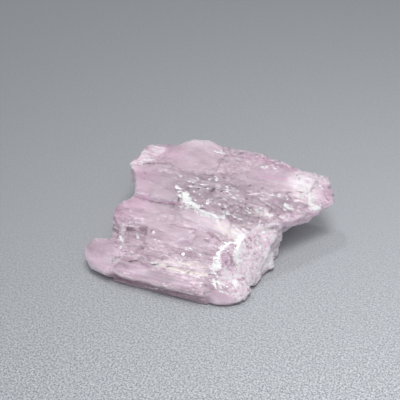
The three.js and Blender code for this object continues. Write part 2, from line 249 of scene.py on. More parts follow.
CRACKS_AND_PAINTED_SHADE = (  # dark lines and spots; two are painted shade in creases, at the step under the upper blade and under the bevel
    # painted shade: the step where the upper blade meets the middle block
    (0.22, 0.65, ((-12.4, -1.6, 8.6), (-8.9, -1.6, 8.5), (-6.7, -1.4, 8.7), (-5.2, -1.4, 9.1))),
    (0.46, 1.0, ((-12.6, -7.3, 6.4), (-11.8, -7.1, 6.4))),
    (0.46, 1.0, ((-10.2, -7.1, 6.9), (-9.3, -7.0, 7.1))),
    (0.16, 1.0, ((12.7, 7.3, 9.5), (14.8, 8.4, 9.0))),
    (0.34, 0.9, ((10.0, -9.2, 1.5), (9.4, -10.2, 1.5))),
    (0.28, 0.8, ((7.7, -3.5, 6.8), (8.6, -3.7, 6.0), (9.3, -3.6, 5.4))),
    (0.20, 0.6, ((-14.0, -12.2, 4.8), (-13.3, -13.1, 3.8), (-13.5, -13.9, 2.2))),
    (0.14, 0.9, ((-12.4, -10.7, 5.6), (-12.3, -11.3, 5.2))),
    # painted shade: the crease under the smooth bevel
    (0.24, 0.8, ((-5.6, -5.6, 7.9), (-2.2, -5.5, 7.8), (0.2, -4.9, 7.2), (2.1, -5.1, 7.0), (3.4, -5.9, 6.7))),
    (0.34, 0.8, ((0.7, -6.2, 6.7), (1.5, -6.3, 6.7))),
    (0.34, 0.7, ((2.7, -6.5, 6.6), (3.1, -6.8, 6.5))),
    (0.12, 0.8, ((-5.5, -12.2, 4.3), (-4.1, -12.5, 4.0))),
    (0.12, 0.8, ((0.0, -11.9, 4.1), (2.7, -11.4, 4.4))),
    (0.30, 0.6, ((5.0, -0.5, 8.2), (8.7, -0.5, 7.8))),
    (0.30, 0.8, ((12.0, 10.9, 10.0), (12.5, 10.3, 10.0))),
    (0.30, 0.7, ((7.2, -4.1, 6.9), (7.8, -4.9, 5.9), (8.2, -4.5, 5.6))),
    (0.12, 0.8, ((6.6, -8.7, 4.4), (7.4, -8.9, 3.6))),
)

DUSKY = (  # soft darker places
    (0.8, 0.9, ((-18.2, -11.9, 4.1), (-17.0, -11.6, 4.6), (-15.4, -10.8, 5.4), (-14.2, -10.4, 5.8))),
    (1.5, 1.2, ((-0.9, -6.7, 6.7), (0.2, -7.4, 6.4), (1.3, -8.2, 6.3), (2.3, -9.6, 5.6))),
    (0.6, 0.9, ((1.7, -6.7, 6.5), (2.9, -7.5, 6.2))),
    (1.6, 1.0, ((18.2, 11.0, 8.4), (18.6, 9.0, 7.6))),
    (1.0, 0.9, ((15.7, 9.8, 8.8), (17.1, 10.5, 8.6))),
    (1.1, 0.9, ((4.6, -13.7, 2.0), (6.6, -13.3, 1.7))),
    (0.7, 0.9, ((4.9, -6.9, 6.2), (5.4, -7.6, 5.9))),
    (0.7, 1.1, ((5.3, -9.0, 5.5), (6.2, -8.5, 5.0))),
    (0.8, 0.5, ((-6.9, -1.8, 8.7), (-2.0, -5.4, 7.8), (1.6, -5.6, 7.2))),
    (0.9, 0.8, ((1.2, -9.0, 5.9), (2.2, -8.6, 6.0), (3.2, -7.4, 6.2))),
)

WINDOWS = (  # small clear places that show what is sealed in the crystal
    (0.31, 1.0, ((-8.1, -7.5, 7.2), (-7.9, -7.5, 7.2))),
    (0.30, 1.0, ((-2.1, -9.6, 5.7), (-1.9, -9.6, 5.7))),
    (0.75, 0.50, ((5.2, -9.1, 5.6), (5.9, -8.3, 5.5), (6.4, -8.6, 4.8))),
    (0.60, 0.46, ((4.9, -6.9, 6.2), (5.3, -7.6, 5.9))),
    (0.70, 0.42, ((-12.2, -8.2, 5.3), (-11.9, -9.4, 5.3))),
)

SHADED = (  # under the lip of the front slope: painted shade there, and streaks in the relief
    (0.95, 1.3, ((-12.8, -14.3, 0.9), (-6.0, -14.5, 0.9), (0.8, -14.9, 0.9), (3.5, -15.0, 0.9))),
)

BLUSHES = (  # saturated pink places
    (1.6, 0.9, ((-17.0, 3.3, 8.0), (-16.4, 6.3, 10.0))),
    (1.5, 0.9, ((-15.3, 3.6, 10.2), (-13.4, 2.5, 10.1))),
    (1.6, 0.6, ((-15.0, 6.9, 10.4), (-10.6, 9.7, 10.6))),
    (2.2, 0.9, ((-15.6, -3.9, 7.6), (-13.6, -3.1, 8.2))),
    (0.8, 1.4, ((5.2, -9.1, 5.6), (5.9, -8.3, 5.5), (6.4, -8.6, 4.8))),
    (0.8, 0.5, ((5.0, -13.7, 2.0), (6.6, -13.3, 1.7))),
    (1.2, 0.5, ((-16.9, -12.6, 2.6), (-15.0, -13.0, 2.6))),
    (1.5, 0.4, ((7.4, -11.6, 2.2), (9.0, -8.4, 2.8), (9.9, -5.0, 3.8))),
    (1.3, 1.3, ((17.9, 10.2, 8.4), (18.6, 9.5, 7.4))),
    (1.5, 0.7, ((12.6, 1.5, 6.5), (14.5, 3.8, 5.9), (16.6, 6.3, 6.3))),
    (1.2, 0.5, ((7.7, -3.5, 6.8), (9.9, -3.7, 4.8), (10.6, -2.5, 5.1))),
    (0.5, 0.9, ((2.0, 13.2, 10.4), (7.0, 12.9, 10.2), (11.6, 12.2, 9.9))),
    (0.35, 0.9, ((5.8, 8.6, 10.1), (8.0, 9.2, 10.1), (10.3, 9.6, 10.1))),
    (1.0, 0.7, ((-14.0, -12.5, 1.8), (-9.0, -12.6, 2.0))),
)

ETCHED = (  # the deeply etched, clearest part of the broad face
    (3.2, 1.6, ((-5.0, 2.7, 9.9), (1.0, 2.7, 9.8), (5.0, 0.5, 9.0))),
    (1.8, 1.2, ((2.0, 5.1, 9.9), (5.0, 5.3, 9.9))),
)

CALM = (  # smooth, little etched places
    (3.0, 1.6, ((-14.0, 1.3, 9.9), (-9.6, 1.7, 9.9))),
    (1.6, 1.3, ((5.6, 8.9, 10.1), (10.6, 9.3, 10.0))),
    (1.0, 1.3, ((4.0, 6.5, 10.0), (10.0, 7.3, 9.9))),
    (2.0, 1.3, ((-12.4, -3.3, 8.4), (-9.0, -3.5, 8.2))),
    (1.4, 1.3, ((-9.0, -6.7, 7.0), (0.6, -7.1, 6.6))),
    (1.2, 0.9, ((-12.0, -13.3, 3.2), (-2.0, -13.7, 2.8))),
)

BUBBLED = (  # the part of the broad face that is etched in round knobs
    (2.0, 1.7, ((5.6, 3.5, 9.6), (10.6, 4.3, 9.4))),
)


# ---- noise ------------------------------------------------------------------------------------------

TABLE = 256  # entries in the shuffled tables of the noise


def lattice(seed):
    """A shuffle of the lattice and one unit slope for each of its entries."""
    rng = np.random.default_rng(seed)
    slopes = rng.normal(size=(TABLE, 3))
    return rng.permutation(TABLE), slopes / np.linalg.norm(slopes, axis=1, keepdims=True)


def lattice_row(shuffle, key):
    """The table entry of each lattice corner."""
    row = shuffle[key[:, 0] % TABLE]
    row = shuffle[(row + key[:, 1]) % TABLE]
    return shuffle[(row + key[:, 2]) % TABLE]


def smooth_noise(points, seed):
    """Gradient noise, about -1 to 1: a random slope at each corner of a unit lattice, blended by a quintic of
    the place in its cell."""
    shuffle, slopes = lattice(seed)
    cell = np.floor(points).astype(np.int64)
    part = points - cell
    fade = part**3 * (part * (part * 6 - 15) + 10)
    total = np.zeros(len(points))
    for corner in itertools.product((0, 1), repeat=3):
        corner = np.array(corner)
        share = np.prod(np.where(corner == 1, fade, 1 - fade), axis=1)
        slope = slopes[lattice_row(shuffle, cell + corner)]
        total += share * np.sum(slope * (part - corner), axis=1)
    return total * 1.6


def layered_noise(points, seed, layers, gain=0.5):
    """Smooth noise and its finer layers, each twice as fine and gain times as strong."""
    total = np.zeros(len(points))
    for i in range(layers):
        total += gain**i * smooth_noise(points * 2.0**i, seed + i)
    return total


def ridged_noise(points, seed, layers, gain):
    """Crests where the noise crosses zero: 1 less its size, squared. 0 to about 1.6."""
    total = np.zeros(len(points))
    for i in range(layers):
        total += gain**i * (1 - np.abs(smooth_noise(points * 2.0**i, seed + i))) ** 2
    return total


def cell_noise(points, seed):
    """Distance to the nearest of one random point in each unit cell, and that point's own random number."""
    rng = np.random.default_rng(seed)
    shuffle = rng.permutation(TABLE)
    spot = rng.random((TABLE, 3))
    number = rng.random(TABLE)
    cell = np.floor(points).astype(np.int64)
    nearest = np.full(len(points), 9.0)
    chosen = np.zeros(len(points), np.int64)
    for step in itertools.product((-1, 0, 1), repeat=3):
        key = cell + np.array(step)
        row = lattice_row(shuffle, key)
        away = np.linalg.norm(key + spot[row] - points, axis=1)
        nearer = away < nearest
        chosen = np.where(nearer, row, chosen)
        nearest = np.where(nearer, away, nearest)
    return nearest, number[chosen]


def ramp(value, low, high):
    """0 below low, 1 above high, smooth between."""
    t = np.clip((value - low) / (high - low), 0, 1)
    return t * t * (3 - 2 * t)


def spot_mask(points, centre, radii, soft):
    """1 inside an ellipsoid, fading to 0 from soft times its radii out to the radii."""
    away = np.linalg.norm((points - np.array(centre)) / np.array(radii), axis=1)
    return 1 - ramp(away, soft, 1.0)


def path_distance(points, path):
    """Distance from each point to the nearest place on a path of straight pieces."""
    nearest = np.full(len(points), 99.0)
    for start, end in zip(path, path[1:]):
        start, along = np.array(start), np.subtract(end, start)
        share = np.clip((points - start) @ along / (along @ along), 0, 1)
        nearest = np.minimum(nearest, np.linalg.norm(points - start - share[:, None] * along, axis=1))
    return nearest


def mark_field(points, marks):
    """The strongest mark at each point: its strength on its path, half of that at its half-width, and none at
    twice the half-width."""
    field = np.zeros(len(points))
    for half_width, strength, path in marks:
        field = np.maximum(field, strength * (1 - path_distance(points, path) / (2 * half_width)))
    return np.clip(field, 0, 1)


# ---- the skin -----------------------------------------------------------------------------------------
# The whole number that each noise is given is its seed.

SWELL_HEIGHT = 0.10  # mm, of the slow waves on the broad face
KNOB_HEIGHT = 0.30  # mm, of the round knobs
WORN_HEIGHT = 0.05  # mm, of the slow waves on the worn faces
LIP_HEIGHT = 0.22  # mm, of the streaks under the lip of the front slope
BEND = 0.25  # mm, how far the marks' paths waver


def solid_skin(voxel):
    """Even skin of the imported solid, in millimetres: its merged copy, remeshed at the voxel size."""
    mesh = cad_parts[NODE].data.copy()
    work = bmesh.new()
    work.from_mesh(mesh)
    bmesh.ops.remove_doubles(work, verts=work.verts, dist=1e-7)
    bmesh.ops.scale(work, vec=(1 / MM,) * 3, verts=work.verts)
    work.to_mesh(mesh)
    work.free()
    holder = bpy.data.objects.new("skin_work", mesh)
    bpy.context.scene.collection.objects.link(holder)
    remesh = holder.modifiers.new("even", "REMESH")
    remesh.mode = "VOXEL"
    remesh.voxel_size = voxel
    remesh.adaptivity = 0
    skin = bpy.data.meshes.new_from_object(holder.evaluated_get(bpy.context.evaluated_depsgraph_get()))
    bpy.data.objects.remove(holder)
    bpy.data.meshes.remove(mesh)
    return skin


def read_points(mesh):
    """The mesh's points, one row each."""
    points = np.empty(len(mesh.vertices) * 3, np.float32)
    mesh.vertices.foreach_get("co", points)
    return points.reshape(-1, 3).astype(float)


def read_normals(mesh):
    """The normals at the mesh's points, one row each."""
    normals = np.empty(len(mesh.vertices) * 3, np.float32)
    mesh.vertex_normals.foreach_get("vector", normals)
    return normals.reshape(-1, 3).astype(float)


def write_points(mesh, points):
    """Moves the mesh's points."""
    mesh.vertices.foreach_set("co", points.astype(np.float32).ravel())
    mesh.update()


def write_share(mesh, name, values):
    """Keeps a share from 0 to 1 at every point, for the material."""
    layer = mesh.attributes.new(name, "FLOAT", "POINT")
    layer.data.foreach_set("value", np.clip(values, 0, 1).astype(np.float32))


def blade_slip(points, reach):
    """Slides every thin blade along X by its own random length: cells 1.3 mm wide and 0.8 mm thick across the
    blades, their borders bent by a little noise."""
    across = points * np.array([0.05, 1 / 1.3, 1 / 0.8])
    bend = smooth_noise(points * 0.5, 11)[:, None] * np.array([0, 0.35, 0.35])
    number = cell_noise(across + bend, 12)[1]
    return (number - 0.5) * 2 * reach


def face_shares(points, normals):
    """Which kind of surface each point lies on, as shares from 0 to 1."""
    up = ramp(normals[:, 2], 0.75, 0.95)
    worn = np.maximum.reduce([
        spot_mask(points, (-15.6, -11.1, 2.6), (4.2, 3.4, 3.6), 0.8),  # thumb
        spot_mask(points, (-6.8, 10.3, 11.0), (5.6, 5.0, 1.8), 0.8) * up,  # plateau
        spot_mask(points, (5.2, -13.2, 1.4), (2.6, 2.0, 1.8), 0.7),  # nose
        spot_mask(points, (-0.2, -3.5, 8.2), (6.4, 2.2, 1.6), 0.85) * (1 - up),  # bevel
    ])
    facing = np.array([0.70, -0.42, 0.58])  # of the sugary break at the front right
    broken = ramp(normals @ facing, 0.75, 0.92)
    broken = broken * ramp(points[:, 0], 4.0, 6.0) * ramp(-points[:, 1], -1.8, 0.2)
    ends = ramp(np.abs(normals[:, 0]), 0.55, 0.85)
    return {
        "worn": worn,
        "broad": up * ramp(points[:, 2], 6.0, 8.4) * (1 - worn),  # the level top
        "rough": np.maximum(broken, ends * 0.6) * (1 - worn),  # the sugary break and the blades' ends
        "break": broken * (1 - worn),
        "low": 1 - ramp(points[:, 2], 0.1, 0.5),  # by the ground, left as it is
        "shaded": mark_field(points, SHADED),
        "wall": 1 - ramp(normals[:, 2], 0.35, 0.85),  # steep
        "etched": mark_field(points, ETCHED) * (1 - worn),
        "bubbled": mark_field(points, BUBBLED),
        "calm": np.maximum(worn, mark_field(points, CALM)),
    }


def relief(points, shares, skin):
    """Height to add along the normal, in millimetres.

    Striations: noise stretched 14 times along X, pulled towards level steps. Swell: slow noise stretched 3
    times along X. Etch hills: ridged noise, 0.8 mm across and 1.8 mm along, and finer pits. Knobs: a dome in
    each cell of about 1.2 mm. Grains: broken cells of 0.6 mm. Worn faces: slow noise. Under the lip of the
    front slope: noise stretched 3 times along X. Each is weighed by how much of its kind of face a point is
    on.
    """
    along = points * np.array([0.07, 1.0, 1.0])
    grooves = layered_noise(along * 1.1, 21, 4, 0.6)
    stria = 0.55 * grooves + 0.45 * np.round(grooves * 4) / 4
    swell = layered_noise(points * np.array([0.16, 0.5, 0.5]), 25, 2)
    hills = ridged_noise(points * np.array([0.55, 1.25, 1.25]), 31, 3, 0.55) - 0.8
    pits = layered_noise(points * np.array([1.4, 3.2, 3.2]), 41, 2)
    knobs = 0.35 - cell_noise(points * np.array([0.75, 0.95, 0.95]), 45)[0] ** 2
    near, number = cell_noise(points * 1.7 + smooth_noise(points * 0.8, 51)[:, None] * 0.4, 52)
    grains = 0.8 * (number - 0.5) - 0.5 * near + 0.25 + 0.8 * layered_noise(points * 2.4, 53, 3, 0.7)
    broad, rough, worn, low, etched, bubbled, calm = (
        shares[k] for k in ("broad", "rough", "worn", "low", "etched", "bubbled", "calm"))
    plain = (1 - broad) * (1 - rough) * (1 - worn)
    height = skin.stria * stria * (plain + 0.35 * broad + 0.25 * worn) * (1 - 0.6 * calm)
    height += SWELL_HEIGHT * swell * broad
    height += skin.etch * (0.15 * broad + 0.5 * etched * (1 - bubbled)) * (0.5 * hills + 0.7 * pits)
    height += KNOB_HEIGHT * bubbled * knobs
    height += skin.sugar * rough * grains
    height += WORN_HEIGHT * worn * layered_noise(points * 0.7, 61, 2)
    height += LIP_HEIGHT * shares["shaded"] * layered_noise(points * np.array([0.35, 1.0, 1.6]), 71, 4, 0.6)
    return height * (1 - low)


def crystal_mesh(skin):
    """The crystal's skin: the even skin of the solid, its thin blades slid along X, the relief added along
    the normals, nothing below the ground, and the shares that the material reads."""
    mesh = solid_skin(skin.voxel)
    points = read_points(mesh)
    shares = face_shares(points, read_normals(mesh))
    held = np.maximum.reduce([shares["worn"], shares["low"], 0.7 * shares["break"]])
    points[:, 0] += blade_slip(points, skin.slip) * (1 - held)
    write_points(mesh, points)
    points += read_normals(mesh) * relief(points, shares, skin)[:, None]
    points[:, 2] = np.maximum(points[:, 2], 0)
    write_points(mesh, points * MM)
    bent = points + BEND * np.stack([smooth_noise(points * 0.9, seed) for seed in (81, 82, 83)], axis=1)
    write_share(mesh, "flash", mark_field(bent, BREAKS_AND_PAINTED_HIGHLIGHTS))
    write_share(mesh, "milk", np.maximum(mark_field(points, MILKY_AND_PAINTED_LIGHT), 0.52 * shares["break"]))
    write_share(mesh, "cream", mark_field(bent, CREAMY))
    write_share(mesh, "crack", mark_field(bent, CRACKS_AND_PAINTED_SHADE))
    write_share(mesh, "blush", mark_field(points, BLUSHES))
    write_share(mesh, "dusky", mark_field(points, DUSKY))
    write_share(mesh, "window", mark_field(points, WINDOWS))
    write_share(mesh, "grit", shares["break"])
    write_share(mesh, "clear", np.maximum(shares["etched"], 0.6 * shares["bubbled"]))
    write_share(mesh, "lively", 1 - 0.85 * shares["calm"])
    # painted shade under the lip of the front slope and by the ground
    write_share(mesh, "foot", np.maximum(shares["shaded"], 0.8 * (1 - ramp(points[:, 2], 0.3, 0.9))))
    write_share(mesh, "wall", shares["wall"])
    write_share(mesh, "dull", 0.3 + 0.4 * shares["broad"] + 0.5 * shares["rough"])
    return mesh


# ---- what is sealed in ------------------------------------------------------------------------------------

SEEDS = (  # middle and radius of each seed, mm
    ((-7.95, -7.18, 6.79), 0.37),
    ((-2.07, -9.35, 5.30), 0.35),
    ((5.30, -8.10, 4.70), 0.30),
    ((8.60, 5.20, 8.60), 0.30),
    ((-4.20, 3.40, 9.10), 0.26),
)

VEILS = (  # middle of each veil, and its half length and half width, mm
    ((-4.0, 7.0, 8.3), 6.5, 2.4),
    ((3.6, 3.6, 8.0), 5.0, 1.6),
    ((10.2, 8.6, 7.7), 3.4, 1.8),
    ((-8.6, 1.8, 7.4), 3.2, 1.6),
    ((-9.6, -4.4, 6.4), 2.6, 1.3),
    ((-2.6, -6.2, 5.3), 5.0, 1.2),
    ((-3.4, -10.4, 3.2), 5.4, 0.9),
    ((5.4, -6.6, 3.8), 1.8, 0.9),
)

RINGS, SEGMENTS = 15, 48  # of every seed and veil


def unit_ball(rings, segments):
    """Points, bands of quads and caps of triangles of a ball of radius 1: rings of latitude between two
    poles, where each ring point is (cos latitude cos longitude, cos latitude sin longitude, sin latitude)."""
    latitude = np.linspace(math.pi / 2, -math.pi / 2, rings + 2)[1:-1, None]
    longitude = np.linspace(0, 2 * math.pi, segments, endpoint=False)[None, :]
    ring = np.stack(np.broadcast_arrays(
        np.cos(latitude) * np.cos(longitude), np.cos(latitude) * np.sin(longitude), np.sin(latitude)),
        axis=-1)
    points = np.concatenate([[[0, 0, 1]], ring.reshape(-1, 3), [[0, 0, -1]]])
    here = 1 + np.arange(rings)[:, None] * segments + np.arange(segments)[None, :]
    after = np.roll(here, -1, axis=1)
    bands = np.stack([here[:-1], here[1:], after[1:], after[:-1]], axis=-1).reshape(-1, 4)
    top = np.stack([np.zeros_like(here[0]), here[0], after[0]], axis=-1)
    bottom = np.stack([np.full_like(here[0], len(points) - 1), after[-1], here[-1]], axis=-1)
    return points, bands, np.concatenate([top, bottom])


def sealed_mesh(name, shapes, bands, caps):
    """One mesh of several shapes with the same faces, each an array of points in millimetres."""
    faces = []
    for first in range(0, len(shapes) * len(shapes[0]), len(shapes[0])):
        faces += (bands + first).tolist() + (caps + first).tolist()
    mesh = bpy.data.meshes.new(name)
    mesh.from_pydata((np.concatenate(shapes) * MM).tolist(), [], faces)
    mesh.polygons.foreach_set("use_smooth", np.ones(len(mesh.polygons), bool))
    return mesh


def veil_shape(ball, middle, half_length, half_width, sealed):
    """A thin wavy veil along the c axis: the ball flattened to a lens, whose rim is drawn in by up to a fifth
    of its width in five places, and whose height is the wave times sin(2 pi x / 5 + y) + 0.5 sin(3 y)."""
    turn = np.arctan2(ball[:, 1], ball[:, 0])
    rim = 1 - 0.2 * (0.5 + 0.5 * np.sin(5 * turn + middle[0])) * (1 - ball[:, 2] ** 2)
    x, y = half_length * ball[:, 0] * rim, half_width * ball[:, 1] * rim
    wave = sealed.wave * (np.sin(2 * math.pi * x / 5 + y) + 0.5 * np.sin(3 * y + middle[1]))
    return np.stack([x, y, 0.5 * sealed.thickness * ball[:, 2] + wave], axis=1) + np.array(middle)


# ---- materials --------------------------------------------------------------------------------------------

MIX_FIRST, MIX_SECOND, MIX_RESULT = 6, 7, 2  # sockets of a Mix node that mixes colours


class Wire:
    """One output socket with arithmetic: an expression on wires adds the Math nodes it needs."""

    def __init__(self, tree, socket):
        self.tree = tree
        self.socket = socket

    def also(self, output):
        """Another output of the same node."""
        return Wire(self.tree, self.socket.node.outputs[output])

    def math(self, operation, *values):
        return self.tree.add("ShaderNodeMath", {"operation": operation}, values)

    def __add__(self, other):
        return self.math("ADD", self, other)

    def __radd__(self, other):
        return self.math("ADD", other, self)

    def __sub__(self, other):
        return self.math("SUBTRACT", self, other)

    def __rsub__(self, other):
        return self.math("SUBTRACT", other, self)

    def __mul__(self, other):
        return self.math("MULTIPLY", self, other)

    def __rmul__(self, other):
        return self.math("MULTIPLY", other, self)

    def __gt__(self, other):
        return self.math("GREATER_THAN", self, other)

    def between(self, low, high):
        """0 below low, 1 above high, smooth between."""
        return self.tree.add("ShaderNodeMapRange", {"interpolation_type": "SMOOTHSTEP"}, {
            "Value": self, "From Min": low, "From Max": high})

    def clipped(self):
        """Held between 0 and 1."""
        return self.tree.add("ShaderNodeMath", {"operation": "ADD", "use_clamp": True}, (self, 0.0))


class Tree:
    """A material's nodes."""

    def __init__(self, name):
        self.material = bpy.data.materials.new(name)
        self.material.use_nodes = True
        self.graph = self.material.node_tree
        self.graph.nodes.clear()

    def add(self, kind, settings=None, values=None, output=0):
        """Adds a node: its settings first, then its sockets by name or in order, from wires or plain values.
        Gives the wire of one of its outputs."""
        node = self.graph.nodes.new(kind)
        for name, value in (settings or {}).items():
            setattr(node, name, value)
        pairs = values.items() if isinstance(values, dict) else enumerate(values or ())
        for key, value in pairs:
            self.plug(node.inputs[key], value)
        return Wire(self, node.outputs[output]) if node.outputs else None

    def plug(self, socket, value):
        """Links a wire to a socket, or sets the socket's own value."""
        if isinstance(value, Wire):
            self.graph.links.new(value.socket, socket)
        elif socket.type == "RGBA":
            socket.default_value = (*value[:3], 1.0)
        else:
            socket.default_value = value

    def finish(self, **ends):
        """The material, with its surface and, where it has one, its volume."""
        self.add("ShaderNodeOutputMaterial", None, ends)
        return self.material

    def place(self):
        """Object coordinates in millimetres."""
        spot = self.add("ShaderNodeTexCoord", output="Object")
        return self.add("ShaderNodeVectorMath", {"operation": "SCALE"}, {0: spot, "Scale": 1 / MM})

    def stretched(self, place, by):
        """The place times a number for each axis, so that a pattern on it is that much finer there."""
        return self.add("ShaderNodeVectorMath", {"operation": "MULTIPLY"}, (place, by))

    def noise(self, place, detail, roughness, scale=1.0, distortion=0.0):
        """Soft noise around 0.5."""
        return self.add("ShaderNodeTexNoise", None, {
            "Vector": place, "Scale": scale, "Detail": detail, "Roughness": roughness,
            "Distortion": distortion})

    def along(self, first, second):
        """How far one vector reaches along another."""
        return self.add("ShaderNodeVectorMath", {"operation": "DOT_PRODUCT"}, (first, second), "Value")

    def shards(self, place):
        """Small flat shards, the cells of a Voronoi pattern: three random numbers for each of them, and the
        height of a surface on which each has its own random slope."""
        colour = self.add("ShaderNodeTexVoronoi", None, {"Vector": place, "Scale": 1.0}, "Color")
        numbers = self.add("ShaderNodeSeparateColor", None, (colour,))
        slope = self.add("ShaderNodeVectorMath", {"operation": "SUBTRACT"}, (colour, (0.5, 0.5, 0.5)))
        away = self.add("ShaderNodeVectorMath", {"operation": "SUBTRACT"}, (place, colour.also("Position")))
        return numbers, numbers.also(1), numbers.also(2), self.along(slope, away)

    def seams(self, place, half_width):
        """Thin lines along the borders of a Voronoi pattern."""
        cells = self.add("ShaderNodeTexVoronoi", {"feature": "DISTANCE_TO_EDGE"}, {
            "Vector": place, "Scale": 1.0})
        return 1 - cells.between(0.4 * half_width, half_width)

    def share(self, name):
        """A share that the mesh carries at its points."""
        return self.add("ShaderNodeAttribute", {"attribute_name": name}, output="Fac")

    def mix(self, share, first, second):
        """A colour from first at 0 to second at 1."""
        return self.add("ShaderNodeMix", {"data_type": "RGBA"}, {
            "Factor": share, MIX_FIRST: first, MIX_SECOND: second}, MIX_RESULT)


CLEAR_TINT = (1.0, 0.97, 0.99)  # of the glassy surface, on the palest and the pinkest places and in cracks and painted shade
PINK_TINT = (1.0, 0.78, 0.93)
CRACK_AND_SHADE_TINT = (0.50, 0.33, 0.42)


def crystal_material(finish):
    """Clear tinted spodumene with dull etched faces, closed to white where it is milky, sugary or broken.
    White highlights and glints, shade under the lip and in creases, and light on walls are painted on.
    """
    tree = Tree("kunzite")
    place = tree.place()
    flash, milk, cream, crack, blush, clear, dull = (
        tree.share(name) for name in ("flash", "milk", "cream", "crack", "blush", "clear", "dull"))
    wall, foot, lively, dark, window, grit = (
        tree.share(name) for name in ("wall", "foot", "lively", "dusky", "window", "grit"))
    swing = lively * (1 - 0.35 * clear)
    window = window.between(0.25, 0.75)

    # patterns, all drawn out along the c axis
    blades = tree.noise(tree.stretched(place, (0.10, 1.6, 1.6)), 5.0, 0.6)
    streaks = tree.noise(tree.stretched(place, (0.5, 2.8, 2.8)), 5.0, 0.75)
    mottle = tree.noise(tree.stretched(place, (0.25, 0.5, 0.5)), 3.0, 0.6)
    crumbs = tree.noise(tree.stretched(place, (2.0, 4.0, 4.0)), 3.0, 0.7)
    drift = tree.noise(tree.stretched(place, (0.3, 0.9, 0.9)), 2.0, 0.6, distortion=0.4)
    lot, glint, tone, slopes = tree.shards(tree.stretched(place, (2.0, 4.4, 3.8)))
    jag = 2.2 * (crumbs - 0.5) + 1.2 * (drift - 0.5)

    # white breaks with painted highlight, in whole shards, with scattered painted glints and bright threads
    # of painted highlight
    broken = (1.7 * (flash + 0.3 * jag * (4 * flash).clipped()) - 0.45 - lot).between(0, 0.04)
    sparkle = 0.50 + 0.08 * clear + 0.12 * grit + 0.35 * (drift - 0.5)
    # painted glints: a few random shards turned white
    broken = broken + lively * (glint + sparkle).between(1.50, 1.51)
    bent = tree.add("ShaderNodeVectorMath", {"operation": "ADD"}, (
        tree.stretched(place, (0.16, 0.9, 0.9)), 0.35 * drift))
    threads = tree.seams(bent, 0.10) * drift.between(0.52, 0.62) * (glint > 0.4)
    gaps = tree.seams(tree.stretched(bent, (1.3, 1.3, 1.3)), 0.12) * drift.between(0.50, 0.40)
    broken = (broken + 0.45 * swing * threads).clipped()

    # dark cracks, painted shade in two creases, fine gaps and the specks of the sugary break
    specks = 0.6 * grit * ((1 - tone) > 0.93)
    cracked_and_painted_shade = ((crack + 0.5 * jag).between(0.40, 0.60) + 0.45 * lively * gaps + specks).clipped()

    # how closed the surface is: 0 is clear crystal, 1 is white
    closed = 0.66 + 0.3 * wall - 0.2 * clear + 0.6 * (mottle - 0.5)
    closed = closed + swing * (streaks - 0.5 + 0.35 * (tone - 0.5))
    closed = ((closed + milk * (0.2 + 0.4 * crumbs) + 0.4 * cream) * (1 - window)).clipped()
    closed = (closed + broken).clipped()

    # colour of the closed surface; steep walls painted lighter and less dusky, standing in for light coming
    # through them
    body = tree.mix(0.5 * clear, tree.mix(wall, finish.veil, finish.painted_wall_light), finish.haze)
    dusky = 2.4 * (streaks - 0.5) + 3.0 * (crumbs - 0.5) + (blades - 0.5)
    dusky = dusky + (0.3 + 0.2 * clear) * (tone - 0.5)
    dusky = (0.2 - 0.2 * wall + dusky * swing).clipped()
    body = tree.mix(dusky, body, finish.dusk)
    # milky and sugary places, and light painted on two shaded walls
    body = tree.mix(milk, body, finish.milk)
    body = tree.mix(0.7 * blush, body, finish.blush)
    body = tree.mix(cream * blades.between(0.40, 0.52), body, finish.cream)
    body = tree.mix(0.65 * dark, body, finish.dusk)
    body = tree.mix(0.6 * cracked_and_painted_shade, body, finish.shade)
    # painted shade under the lip of the front slope and by the ground
    body = tree.mix(0.75 * foot, body, finish.shade)
    # painted highlight: whitish breaks, glints and bright threads turned to the flash white
    body = tree.mix(broken, body, finish.flash)

    # the glassy surface, the closed surface and the body under them
    tint = tree.mix(blush, CLEAR_TINT, PINK_TINT)
    tint = tree.mix(cracked_and_painted_shade, tint, CRACK_AND_SHADE_TINT)
    rough = (dull * (0.25 + 0.7 * blades) * (1 - window)).clipped()
    sheen = 0.45 - 0.3 * lively
    grooves = lively * (0.14 * slopes + 0.05 * crumbs + 0.05 * streaks)
    fine = tree.add("ShaderNodeBump", None, {"Strength": 1.0, "Distance": MM, "Height": grooves})
    glass = tree.add("ShaderNodeBsdfPrincipled", None, {
        "Base Color": tint, "Roughness": rough, "IOR": finish.index, "Transmission Weight": 1.0,
        "Normal": fine})
    white = tree.add("ShaderNodeBsdfPrincipled", None, {
        "Base Color": body, "Roughness": sheen, "IOR": finish.index, "Specular IOR Level": 0.3,
        "Subsurface Weight": 1.0, "Subsurface Radius": (1.0, 0.9, 0.95),
        "Subsurface Scale": finish.glow_depth, "Normal": fine})
    surface = tree.add("ShaderNodeMixShader", None, {0: closed, 1: glass, 2: white})
    volume = tree.add("ShaderNodeVolumeAbsorption", None, {
        "Color": finish.body_tint, "Density": finish.tint_density})
    return tree.finish(Surface=surface, Volume=volume)


def sealed_material(name, colour, glow, cover=None):
    """Soft white, whole, or patchy where a cover is given, with a faint glow that stands for the light that
    wanders inside the crystal."""
    tree = Tree(name)
    alpha = 1.0
    if cover is not None:
        patches = tree.noise(tree.stretched(tree.place(), (0.6, 1.8, 1.8)), 4.0, 0.65)
        alpha = cover * patches.between(0.42, 0.62)
    return tree.finish(Surface=tree.add("ShaderNodeBsdfPrincipled", None, {
        "Base Color": colour, "Roughness": 0.7, "Emission Color": colour, "Emission Strength": glow,
        "Alpha": alpha}))


GRAIN = (0.32, 1.7)  # shares of the floor's colour in its darkest and its lightest grains
TO_BACK = (-0.31, 0.95, 0.0)  # level direction in which the floor's grain fades


